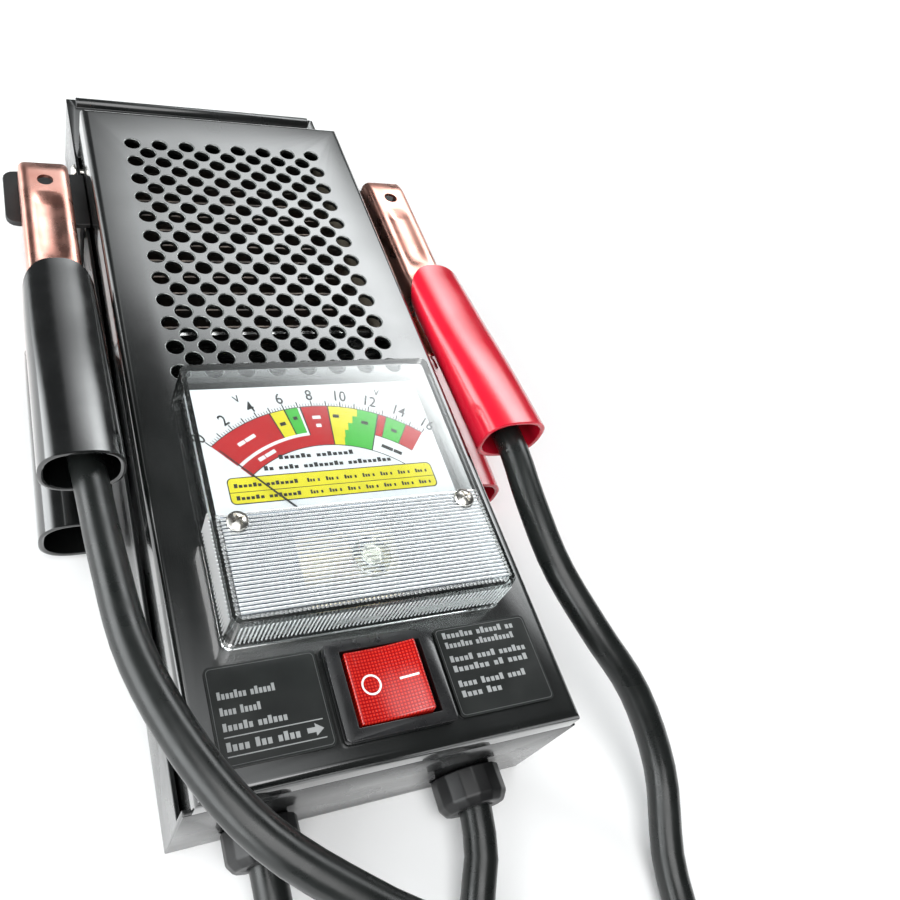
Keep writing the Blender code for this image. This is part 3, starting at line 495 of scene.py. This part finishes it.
def front_cover():
    """Folded sheet with vents, openings for the meter and the switch, and pressed rims."""
    bend, half, sheet = 2.6, 51.5, 1.2
    bottom, top = -0.5, 252.0
    end_profile = ([(top, 29.0)] + arc((top - bend, FACE - bend), bend, 0, 90)
                   + arc((bottom + bend, FACE - bend), bend, 90, 180)
                   + [(bottom, 39.3), (1.1, 39.3), (1.1, 30.0), (3.0, 30.0), (3.0, 24.0),
                      (245.5, 24.0), (245.5, 29.0)])
    side_profile = ([(half, 10.0)] + arc((half - bend, FACE - bend), bend, 0, 90)
                    + arc((-half + bend, FACE - bend), bend, 90, 180) + [(-half, 10.0)])
    bm = bmesh.new()
    prism_into(bm, end_profile, -60.0, 60.0, "x")
    cover = to_mesh("cover", bm)
    across = bmesh.new()
    prism_into(across, side_profile, -20.0, 270.0, "y")
    cover = carve(cover, across, "INTERSECT")
    inner = bmesh.new()
    box_into(inner, (-half + sheet, 2.3, 5.0), (half - sheet, top - sheet, FACE - sheet))
    cover = carve(cover, inner)
    holes = bmesh.new()
    for x, y in vent_centres():
        prism_into(holes, disc((x, y), VENT_RADIUS, 24), FACE - 4.0, FACE + 3.0)
    meter_hole = disc((0.0, 73.0), 31.5, 64)
    prism_into(holes, meter_hole, FACE - 3.0, FACE + 3.0)
    box_into(holes, (-14.0, 6.5, FACE - 3.0), (14.0, 28.5, FACE + 3.0))      # switch
    for side in (-1, 1):
        for y in (30.0, 240.0):                                              # screws
            prism_into(holes, disc((y, 26.4), 1.9, 12), side * 48.0, side * 54.0, "x")
    cover = carve(cover, holes)
    rims = bmesh.new()
    rims.from_mesh(cover)
    rims.transform(Matrix.Scale(1.0 / MM, 4))
    rims.transform(Matrix.Translation((0.0, -Y_SHIFT, 0.0)))
    # The lip's top bands take material slot 1, the grey metal that paints a highlight ring round
    # each hole.
    lip = [(VENT_RADIUS, -0.01), (3.02, -0.03), (2.9, -0.1), (2.8, -0.22)]
    bore = [(2.8, -0.22), (2.73, -0.4), (2.7, -0.6), (2.7, -1.5), (VENT_RADIUS, -1.5)]
    for x, y in vent_centres():
        lathe_into(rims, lip, (x, y, FACE), 24, index=1)
        lathe_into(rims, bore, (x, y, FACE), 24)
    mesh = to_mesh("front_cover_sheet", rims, weld=False)
    place_piece("front_cover_sheet", mesh, ["paint", "painted_rim_highlight"], "case", ["front_cover"],
                smooth=28)


def case_parts():
    softened("rear_case", "tray_paint", 0.5, 3, 40.0, merge=False)
    for side in ("left", "right"):
        softened("clamp_rest_" + side, "matt", 0.45, 3)
        softened("gland_" + side, "gland", 0.5, 3, 15.0)
        for name in ("case_screw_" + side + "_bottom", "case_screw_" + side + "_top",
                     "rest_rivet_" + side):
            softened(name, "zinc", 0.15, 2, 25.0)


# ---- labels and switch ------------------------------------------------------------------
LAYER = 0.02                   # thickness of one printed layer


def word_rows(bm, x0, x1, y, height, words, z, index):
    """Blank blocks in place of a line of words: one small block for each letter."""
    space = 0.8
    pitch = (x1 - x0) / (sum(words) + (len(words) - 1) * space)
    x, count = x0, 0
    for word in words:
        for _ in range(word):
            tall = height if count % 4 == 0 else height * 0.7
            box_into(bm, (x + pitch * 0.1, y - height / 2, z),
                     (x + pitch * 0.82, y - height / 2 + tall, z + LAYER), index)
            x += pitch
            count += 1
        x += pitch * space


# Lines of blocks on each label: (y, share of the line's width, letters in each word)
LEFT_ROWS = ((22.2, 0.60, (7, 6)), (18.4, 0.42, (4, 5)), (14.7, 0.66, (6, 6)))
RIGHT_ROWS = ((27.2, 0.92, (7, 6, 2)), (24.5, 0.88, (7, 10)), (20.7, 0.97, (5, 4, 6)),
              (18.0, 0.95, (7, 2, 4)), (14.0, 0.85, (4, 5, 4)), (11.3, 0.5, (4, 3)))


def labels():
    """Dark film with a fine border line and grey blocks, a plain arrow on the left one."""
    top, border, half_line = FACE + 0.7, 0.015, 12.0
    for side, name, rows, height in ((-1, "left", LEFT_ROWS, 1.9),
                                     (1, "right", RIGHT_ROWS, 1.7)):
        bm = bmesh.new()
        cx = side * 30.9
        z = top + 2 * border
        prism_into(bm, rounded(14.1, 12.0, 1.5, (cx, PLATE_Y)), FACE + 0.3, top)
        prism_into(bm, rounded(13.6, 11.5, 1.1, (cx, PLATE_Y)), top, top + border, index=2)
        prism_into(bm, rounded(13.45, 11.35, 1.0, (cx, PLATE_Y)), top + border, z)
        left, right = cx - half_line, cx + half_line
        for y, share, words in rows:
            word_rows(bm, left, left + 2 * half_line * share, y, height, words, z, 1)
        if side < 0:
            for y in (12.4, 8.0):
                box_into(bm, (left, y - 0.12, z), (right, y + 0.12, z + LAYER), 1)
            word_rows(bm, left, left + 18.0, 10.2, 2.1, (4, 3, 4), z, 1)
            arrow = ((-4.4, 9.6), (-2.3, 9.6), (-2.3, 8.7), (-0.2, 10.2), (-2.3, 11.7),
                     (-2.3, 10.8), (-4.4, 10.8))
            prism_into(bm, [(right + x, y) for x, y in arrow], z, z + LAYER, index=1)
        mesh = to_mesh("label_" + name, bm, weld=False)
        place_piece("label_film_" + name, mesh, ["label", "grey_print", "dim_print"], "case",
                    ["label_" + name])


def on_rocker(bm, outline):
    """A flat mark just above the rocker's curved top."""
    bm.faces.new([bm.verts.new((x, y, FACE + 1.86 + 0.135 * (x + 10.2) + 0.011 * x * x))
                  for x, y in outline])


def switch():
    softened("switch_housing", "black_plastic", 0.6, 3)
    softened("switch_rocker", "rocker", 0.55, 4, 20.0)
    bm = bmesh.new()
    inner, outer = (disc((-5.2, PLATE_Y), radius, 40) for radius in (2.12, 2.62))
    for i in range(len(inner)):
        j = (i + 1) % len(inner)
        on_rocker(bm, (inner[i], outer[i], outer[j], inner[j]))
    bar, steps = 5.0, 8
    for i in range(steps):
        x0, x1 = 2.3 + bar * i / steps, 2.3 + bar * (i + 1) / steps
        on_rocker(bm, ((x0, 17.25), (x1, 17.25), (x1, 17.8), (x0, 17.8)))
    mesh = to_mesh("rocker_marks", bm)
    place_piece("rocker_marks", mesh, "white_paint", "rocker", smooth=30)


# ---- meter ------------------------------------------------------------------------------
DIAL_CENTRE = (0.0, 52.0)
DIAL_TOP = FACE + 5.6
SWEEP = 82.0                   # degrees from the scale's 0 to its end
SCALE_END = 16
WHITE, BLACK, RED, YELLOW, GREEN = range(5)


def layer(level):
    return DIAL_TOP + level * LAYER


def dial_angle(value):
    """Degrees from straight up, clockwise."""
    return -SWEEP / 2 + SWEEP * value / SCALE_END


def dial_point(value, radius):
    a = math.radians(dial_angle(value))
    return (DIAL_CENTRE[0] + radius * math.sin(a), DIAL_CENTRE[1] + radius * math.cos(a))


def patch_into(bm, outline, level, index):
    face = bm.faces.new([bm.verts.new((x, y, layer(level))) for x, y in outline])
    face.material_index = index


def band(bm, v0, v1, r0, r1, index, level=2):
    steps = max(2, round((v1 - v0) * 3))
    values = [v0 + (v1 - v0) * i / steps for i in range(steps + 1)]
    outline = [dial_point(v, r1) for v in values] + [dial_point(v, r0) for v in values[::-1]]
    patch_into(bm, outline, level, index)


def tick(bm, value, r0, r1, width):
    low, high = Vector(dial_point(value, r0)), Vector(dial_point(value, r1))
    along = (high - low).normalized()
    n = Vector((-along.y, along.x)) * width / 2
    patch_into(bm, (low + n, low - n, high - n, high + n), 4, BLACK)


def figure_into(bm, text, centre, size, turn):
    curve = bpy.data.curves.new("figure", "FONT")
    curve.body = text
    curve.size = size
    curve.align_x, curve.align_y = "CENTER", "CENTER"
    curve.resolution_u = 3
    curve.offset = 0.06
    mesh = evaluated(curve)
    mesh.transform(Matrix.Translation((*centre, layer(4)))
                   @ Matrix.Rotation(math.radians(turn), 4, "Z")
                   @ Matrix.Scale(0.82, 4, (1.0, 0.0, 0.0)))
    start = len(bm.faces)
    bm.from_mesh(mesh)
    bm.faces.ensure_lookup_table()
    for face in bm.faces[start:]:
        face.material_index = BLACK
    bpy.data.meshes.remove(mesh)


def small_words(bm, value, r, widths, index):
    """Blank bars set across a band, as small print."""
    middle = Vector(dial_point(value, r))
    turn = Matrix.Rotation(math.radians(-dial_angle(value)), 2)
    gap, half = 0.3, 0.6
    offset = -sum(widths) / 2 - gap / 2 * (len(widths) - 1)
    for width in widths:
        corners = ((offset, -half), (offset + width, -half), (offset + width, half),
                   (offset, half))
        patch_into(bm, [middle + turn @ Vector(c) for c in corners], 5, index)
        offset += width + gap


def dial():
    """White card with coloured bands, a scale, small print as bars and a yellow table."""
    bm = bmesh.new()
    prism_into(bm, rounded(36.2, 21.5, 1.0, (0.0, 88.2)), FACE + 5.1, DIAL_TOP)
    outer, inner = 49.6, 35.6        # the whole band
    row, gap = 40.4, 39.4            # foot of the upper row, and of the line under it
    charge = 41.5                    # foot of the last three bands
    band(bm, 0.0, 16.0, inner - 0.25, outer + 0.25, BLACK, 1)
    for v0, v1, r0, r1, index in (
            (0.0, 4.85, row, outer, RED), (4.95, 5.95, row, outer, YELLOW),
            (6.05, 6.95, row, outer, GREEN), (6.95, 7.1, row, outer, WHITE),
            (0.0, 7.1, gap, row, WHITE), (0.0, 7.2, inner, gap, RED),
            (7.2, 9.05, inner, outer, RED), (9.15, 10.1, inner, outer, YELLOW),
            (12.75, 13.3, charge, outer, RED), (13.35, 14.75, charge, outer, GREEN),
            (14.8, 16.0, charge, outer, RED), (12.75, 16.0, inner, 41.3, WHITE)):
        band(bm, v0, v1, r0, r1, index)
    # yellow gives way to green in steps, sooner towards the middle of the dial
    start = 10.1
    for r0, r1, edge in ((46.8, 49.6, 11.2), (44.0, 46.8, 10.85), (41.2, 44.0, 10.5),
                         (38.4, 41.2, 10.2), (35.6, 38.4, start)):
        if edge > start:
            band(bm, start, edge, r0, r1, YELLOW)
        band(bm, edge, 12.65, r0, r1, GREEN)
    for v in range(SCALE_END + 1):
        tick(bm, v, outer + 0.2, outer + 2.1, 0.36)
        for part in range(1, 5):
            if v < SCALE_END:
                tick(bm, v + part / 5, outer + 0.2, outer + 1.3, 0.2)
    for v in range(0, SCALE_END + 1, 2):
        figure_into(bm, str(v), dial_point(v, outer + 4.1), 5.6, -dial_angle(v))
    for v, turn in ((3.6, 20.0), (12.4, -20.0)):
        figure_into(bm, "V", dial_point(v, outer + 8.4), 3.6, turn)
    for value, radius, widths, index in (
            (2.2, 44.8, (2.4, 3.6), WHITE), (2.6, 37.6, (2.2, 3.6), WHITE),
            (8.1, 45.5, (2.6,), WHITE), (8.1, 42.5, (1.6,), WHITE),
            (5.4, 45.0, (1.8,), BLACK), (6.5, 46.0, (1.3,), BLACK),
            (9.6, 46.0, (1.9,), BLACK), (11.8, 45.0, (2.2,), BLACK),
            (14.1, 45.4, (1.8,), BLACK), (14.4, 38.2, (3.6, 2.6), BLACK)):
        small_words(bm, value, radius, widths, index)
    z = layer(4)
    word_rows(bm, -14.5, 8.5, 84.4, 1.5, (6, 7), z, BLACK)
    word_rows(bm, -19.5, 19.5, 81.0, 1.5, (2, 4, 8, 9), z, BLACK)
    table = (0.4, 74.5)
    prism_into(bm, rounded(31.0, 4.3, 1.6, table), layer(1), layer(2), index=BLACK)
    prism_into(bm, rounded(30.7, 4.0, 1.4, table), layer(2), layer(3), index=YELLOW)
    box_into(bm, (-30.3, 73.9, z - 0.01), (31.1, 74.1, z), BLACK)
    for y in (76.1, 72.2):
        word_rows(bm, -29.0, -10.5, y, 1.3, (6, 7), z, BLACK)
        for column in range(7):
            x = -8.0 + column * 5.6
            word_rows(bm, x, x + 3.9, y, 1.3, (3, 1), z, BLACK)
    mesh = to_mesh("dial_face", bm, weld=False)
    place_piece("dial_face", mesh,
                ["dial", "black_print", "red_print", "yellow_print", "green_print"],
                "case", ["dial_plate"])


def lens_details():
    """Ribbed apron over the movement, its beaded border and the ribbed lower walls."""
    top = LENS_TOP
    low, high, half = 35.6, 64.0, 36.6
    bm = bmesh.new()
    pitch = 1.06
    count = int((high - low) / pitch)
    profile = [(low, top + 0.02)]
    for i in range(count):
        y = low + i * pitch
        profile += [(y + pitch * share, top + height) for share, height in (
            (0.2, 0.05), (0.36, 0.28), (0.5, 0.34), (0.64, 0.28), (0.8, 0.05))]
    profile += [(low + count * pitch, top + 0.02)]
    prism_into(bm, profile, -half, half, "x")
    for face in bm.faces:                # the flat valleys between the ribs get the darker tint: painted shade for the lines between the ribs
        if abs(face.calc_center_median().z - top - 0.05) < 0.02:
            face.material_index = 1
    bead, edge = 1.15, 0.7
    beads = [(side * (half + edge), low + (i + 0.5) * bead) for side in (-1, 1)
             for i in range(int((high - low) / bead))]
    beads += [(-half + (i + 0.5) * bead, low - edge) for i in range(int(2 * half / bead))]
    for x, y in beads:
        lathe_into(bm, [(0.0, 0.4), (0.45, 0.22), (0.57, 0.02)], (x, y, top), 6)
    rib, foot, head = 1.1, FACE + 4.0, top - 1.2
    for i in range(68):
        x = -37.0 + i * rib
        prism_into(bm, [(x, 33.02), (x + 0.28, 32.75), (x + 0.56, 33.02)], foot, head)
    for side in (-1, 1):
        for i in range(27):
            y = 35.5 + i * rib
            prism_into(bm, [(side * 39.0, y), (side * 39.5, y + 0.28),
                            (side * 39.0, y + 0.56)], foot, head)
    mesh = to_mesh("lens_apron", bm, weld=False)
    place_piece("lens_apron", mesh, ["frost", "groove"], "case",
                smooth=20)


def phillips(name, centre, radius):
    """Domed screw head with a cross cut in it, on its shank."""
    bm = bmesh.new()
    shank, shank_end = 1.35, -12.4
    dome = [(0.0, 1.75), (radius * 0.35, 1.7), (radius * 0.7, 1.45), (radius * 0.93, 1.0),
            (radius, 0.55), (radius, 0.3), (shank, 0.3), (shank, shank_end),
            (0.0, shank_end)]
    lathe_into(bm, dome, centre, 32)
    mesh = to_mesh(name, bm)
    reach, half = radius * 0.62, 0.34
    for turn in (0.35, 0.35 + math.pi / 2):
        c, s = math.cos(turn), math.sin(turn)
        outline = [(centre[0] + u * c - v * s, centre[1] + u * s + v * c) for u, v in (
            (reach, half), (-reach, half), (-reach, -half), (reach, -half))]
        slot = bmesh.new()
        prism_into(slot, outline, centre[2] + 0.8, centre[2] + 3.0)
        mesh = carve(mesh, slot)
    place_piece(name + "_head", mesh, "zinc", "case", [name], smooth=30)


def needle():
    """Thin tapered pointer with a balance tail, in place of the plain one."""
    turn = math.radians(90.0 + SWEEP / 2)
    along = Vector((math.cos(turn), math.sin(turn)))
    across = Vector((-along.y, along.x))
    outline = [(47.0, 0.06), (47.0, -0.06), (3.0, -0.3), (-7.0, -0.5), (-9.0, -1.2),
               (-9.0, 1.2), (-7.0, 0.5), (3.0, 0.3)]
    bm = bmesh.new()
    prism_into(bm, [tuple(Vector(DIAL_CENTRE) + along * u + across * v)
                    for u, v in outline[::-1]], FACE + 6.3, FACE + 6.7)
    lathe_into(bm, [(0.0, 7.2), (1.5, 7.2), (2.0, 6.9), (2.0, 6.1), (0.0, 6.1)],
               (*DIAL_CENTRE, FACE), 24)
    mesh = to_mesh("needle", bm)
    place_piece("needle_blade", mesh, "black_print", "needle", ["meter_needle"],
                smooth=30)


def meter():
    softened("meter_lens", "clear", 0.7, 4, 35.0, flat_area=2.5)
    softened("meter_base", "black_plastic", 0.4, 2)
    softened("zero_adjuster", "hub", 0.15, 2, 25.0)
    lens_details()
    dial()
    needle()
    for x, side in ((-32.5, "left"), (32.5, "right")):
        phillips("lens_screw_" + side, (x, 60.5, LENS_TOP), 2.9)


# ---- clamps -----------------------------------------------------------------------------
def interpolate(table, u):
    """Straight-line reading of a table of (u, value) pairs sorted by rising u."""
    if u <= table[0][0]:
        return table[0][1]
    for (u0, v0), (u1, v1) in zip(table, table[1:]):
        if u <= u1:
            return v0 + (v1 - v0) * (u - u0) / (u1 - u0)
    return table[-1][1]


def smoothed(table, u, reach=3.0):
    """Mean of five readings around u, so that a table's corners come out round."""
    return sum(interpolate(table, u + d * reach / 2) for d in (-2, -1, 0, 1, 2)) / 5


# In the tables of a clamp, u runs along it from its pin towards the jaw's tip, and heights
# are from the pin, outwards.
def jaw(node, side, up, half):
    """Stamped channel: rounded bends, a long shallow groove and a toothed bite."""
    x = side * CLAMP_X
    sheet = 1.2
    tip, teeth, tooth, tooth_depth = 61.0, 37.0, 0.6, 0.7
    groove_start, groove_end, groove_run, groove_half, groove_depth = 9.0, 44.0, 6.0, 4.2, 1.1
    top = [(-46.0, 20.4), (-11.0, 14.9), (6.0, 12.0), (57.0, 12.0), (61.0, 10.6)]
    edge = [(-12.0, 12.4), (-8.0, 5.0), (-5.0, -3.0), (-2.5, -4.6), (2.5, -4.6),
            (5.0, -3.0), (12.0, 4.0), (22.0, 6.0), (36.0, 2.2), (38.0, 1.4), (61.0, 1.4)]
    stations = [-12.0, -10.0, -8.0, -6.5, -5.0, -3.8, -2.5, 0.0, 2.5, 3.8, 5.0, 7.0, 9.5,
                12.0, 15.0, 18.5, 22.0, 25.0, 28.0, 31.0, 34.0, 36.0]
    stations += [teeth + tooth * i for i in range(40)]
    bend, arc_steps, flat_steps = 2.6, 5, 12

    def section(u):
        t = smoothed(top, u, 2.0)
        e = interpolate(edge, u)
        if u > teeth and round((u - teeth) / tooth) % 4 in (1, 2):
            e += tooth_depth
        outer, inner = [], []
        for inset, path in ((0.0, outer), (sheet, inner)):
            radius = max(bend - inset, 0.3)
            a = half - inset
            path.append((-a, min(e, t - bend)))
            path.append((-a, t - bend))
            for i in range(1, arc_steps + 1):
                angle = math.pi - math.pi / 2 * i / arc_steps
                path.append((-a + radius + radius * math.cos(angle),
                             t - bend + radius * math.sin(angle)))
            for i in range(1, flat_steps):
                px = (-1 + 2 * i / flat_steps) * (a - radius)
                depth = 0.0
                if groove_start < u < groove_end:
                    ends = min((u - groove_start) / groove_run, (groove_end - u) / groove_run,
                               1.0)
                    depth = groove_depth * ends * max(0.0, 1.0 - (px / groove_half) ** 2) ** 0.6
                path.append((px, t - inset - depth))
            for i in range(arc_steps + 1):
                angle = math.pi / 2 - math.pi / 2 * i / arc_steps
                path.append((a - radius + radius * math.cos(angle),
                             t - bend + radius * math.sin(angle)))
            path.append((a, min(e, t - bend)))
        return [(x + px, PIN_Y + u, PIN_Z + up * v) for px, v in outer + inner[::-1]]

    bm = bmesh.new()
    rings = [section(u) for u in stations if u <= tip]
    made = loft_into(bm, rings, closed=False)
    half_count = len(rings[0]) // 2
    for ring in (made[0], made[-1]):
        for i in range(half_count - 1):
            bm.faces.new((ring[i], ring[i + 1], ring[-i - 2], ring[-i - 1]))
    mesh = to_mesh(node + "_sheet", bm)
    hole = bmesh.new()
    near_tip = disc((x, PIN_Y + 50.0), 2.7, 28)
    prism_into(hole, near_tip, PIN_Z + up * 7.0, PIN_Z + up * 16.0)
    mesh = carve(mesh, hole)
    pin = bmesh.new()
    prism_into(pin, disc((PIN_Y, PIN_Z), 2.4, 20), x - 12.0, x + 12.0, "x")
    mesh = carve(mesh, pin)
    tail = bmesh.new()
    prism_into(tail, [(PIN_Y + u, PIN_Z + up * v) for u, v in (
        (-11.0, 14.2), (-46.0, 20.3), (-46.0, 19.1), (-11.0, 13.1))], x - 5.6, x + 5.6, "x")
    mesh = carve(mesh, tail, "UNION")
    place_piece(node + "_sheet", mesh, "copper", BODY[node], [node],
                smooth=32)


def grip(node, side, up, look):
    """Dipped vinyl sleeve: rolled rims, an oval section, narrowing towards the jaw."""
    x = side * CLAMP_X
    sides, wall, power = 48, 1.5, 0.78
    back, front = -77.0, 3.0
    along = (back, -50.0, -24.0, -3.0, front)
    middle = list(zip(along, (18.4, 16.8, 14.8, 13.6, 13.4)))
    half_x = list(zip(along, (11.4, 11.3, 11.2, 11.0, 10.8)))
    half_z = list(zip(along, (9.4, 8.6, 7.0, 6.2, 5.8)))
    slant = list(zip(along, (0.0, 0.0, 2.0, 18.0, 22.0)))

    def ring(u, inset, shift=0.0):
        points = []
        a = smoothed(half_x, u) - inset
        b = smoothed(half_z, u) - inset
        m = smoothed(middle, u)
        for i in range(sides):
            angle = 2 * math.pi * i / sides
            c, s = math.cos(angle), math.sin(angle)
            points.append((x + a * math.copysign(abs(c) ** power, c),
                           PIN_Y + u + shift - interpolate(slant, u) * (1 - s) / 2,
                           PIN_Z + up * (m + b * math.copysign(abs(s) ** power, s))))
        return points

    stations = [front, 1.0, -1.5, -3.0, -8.0, -14.0, -20.0, -26.0, -33.0, -40.0, -48.0,
                -56.0, -64.0, -71.0, back]
    outer = [ring(front, wall / 2, 0.35), ring(front, 0.35, 0.2)]
    outer += [ring(u, 0.0) for u in stations]
    outer += [ring(back, 0.35, -0.25), ring(back, wall / 2, -0.4),
              ring(back, wall - 0.3, -0.2)]
    inner = [ring(u, wall) for u in stations[::-1]]
    bm = bmesh.new()
    loft_into(bm, outer + inner)
    mesh = to_mesh(node + "_sleeve", bm)
    place_piece(node + "_sleeve", mesh, look, BODY[node], [node], smooth=50)


def clamps():
    for side, name, look in ((-1, "left", "black_vinyl"), (1, "right", "red_vinyl")):
        jaw("upper_jaw_" + name, side, 1, 8.5)
        jaw("lower_jaw_" + name, side, -1, 7.0)
        grip("upper_grip_" + name, side, 1, look)
        grip("lower_grip_" + name, side, -1, look)
        softened("clamp_pin_" + name, "zinc", 0.3, 3, 25.0)


# ---- what stays as CAD ------------------------------------------------------------------
def dress_cad_nodes():
    """Give the CAD nodes that still show a finished material, by their record's slot."""
    by_slot = {"spring_steel": "steel", "bright_steel": "bright", "copper_plate": "copper",
               "brass": "brass", "needle_black": "black_print", "nichrome": "nichrome",
               "mica_board": "mica", "cable_rubber": "cable",
               "black_plastic": "black_plastic", "zinc_plated_steel": "zinc"}
    for name, node in NODES.items():
        look = by_slot.get(SLOT.get(name))
        if look and not node.hide_render:
            for place in node.material_slots:
                place.material = LOOK[look]


# ---- floor and light --------------------------------------------------------------------
# Soft lobes of the studio's light: (strength, ramps).  Each ramp is (axis, dark, bright): the
# X, Y or Z of a direction where the lobe fades out, and where it is full.
GLOW = (7.5, (("Z", 0.78, 0.68), ("Z", 0.36, 0.68), ("X", -0.12, 0.47), ("Y", 0.15, 0.45)))
LEFT_WALL = (6.0, (("X", -0.55, -0.8), ("Z", 0.75, 0.4)))
OVERHEAD = (1.5, (("Z", 0.93, 0.99),))
BASE_LIGHT = 0.09


def add_floor():
    bm = bmesh.new()
    bmesh.ops.create_grid(bm, x_segments=1, y_segments=1, size=4.0)
    mesh = bpy.data.meshes.new("floor")
    bm.to_mesh(mesh)
    bm.free()
    floor = new_object("floor", mesh)
    floor.location.z = -0.0002
    look, _, shader = principled("floor_pale", (0.92, 0.92, 0.92), 0.75)
    set_sockets(shader, {"Emission Color": (1.0, 1.0, 1.0, 1.0), "Emission Strength": 0.06})
    mesh.materials.append(look)


def add_world():
    """Lobes of light that the object reflects, and a plain pale background for the camera."""
    world = bpy.data.worlds.new("studio")
    world.use_nodes = True
    tree = world.node_tree
    source = tree.nodes.new("ShaderNodeTexCoord").outputs["Generated"]
    split = tree.nodes.new("ShaderNodeSeparateXYZ")
    tree.links.new(source, split.inputs["Vector"])
    total = None
    for power, ramps in (GLOW, LEFT_WALL, OVERHEAD):
        lobe = None
        for axis, dark, bright in ramps:
            share = between(tree, split.outputs[axis], dark, bright, kind="SMOOTHSTEP")
            lobe = maths(tree, "MULTIPLY", lobe, share) if lobe else share
        lobe = maths(tree, "MULTIPLY", lobe, power)
        total = maths(tree, "ADD", total, lobe) if total else lobe
    back = tree.nodes["Background"]
    set_sockets(back, {"Color": (0.96, 0.99, 1.0, 1.0)})
    tree.links.new(maths(tree, "ADD", total, BASE_LIGHT), back.inputs["Strength"])
    seen = tree.nodes.new("ShaderNodeBackground")
    set_sockets(seen, {"Color": (0.93, 0.94, 0.95, 1.0)})
    split_by_ray(tree, "Is Camera Ray", back.outputs["Background"],
                 seen.outputs["Background"], "World Output")
    bpy.context.scene.world = world


def add_key_light():
    data = bpy.data.lights.new("key", "AREA")
    data.shape = "SQUARE"
    data.size = 1.3
    data.energy = 21.0
    key = new_object("key", data)
    key.location = (-0.35, -0.75, 1.5)
    target = Vector((0.0, -0.02, 0.03))
    key.rotation_euler = (target - key.location).to_track_quat("-Z", "Y").to_euler()


add_camera()
cable("left", CABLE_LEFT_ROUTE, -1)
cable("right", CABLE_RIGHT_ROUTE, 1)
front_cover()
case_parts()
labels()
switch()
meter()
clamps()
dress_cad_nodes()
add_floor()
add_world()
add_key_light()
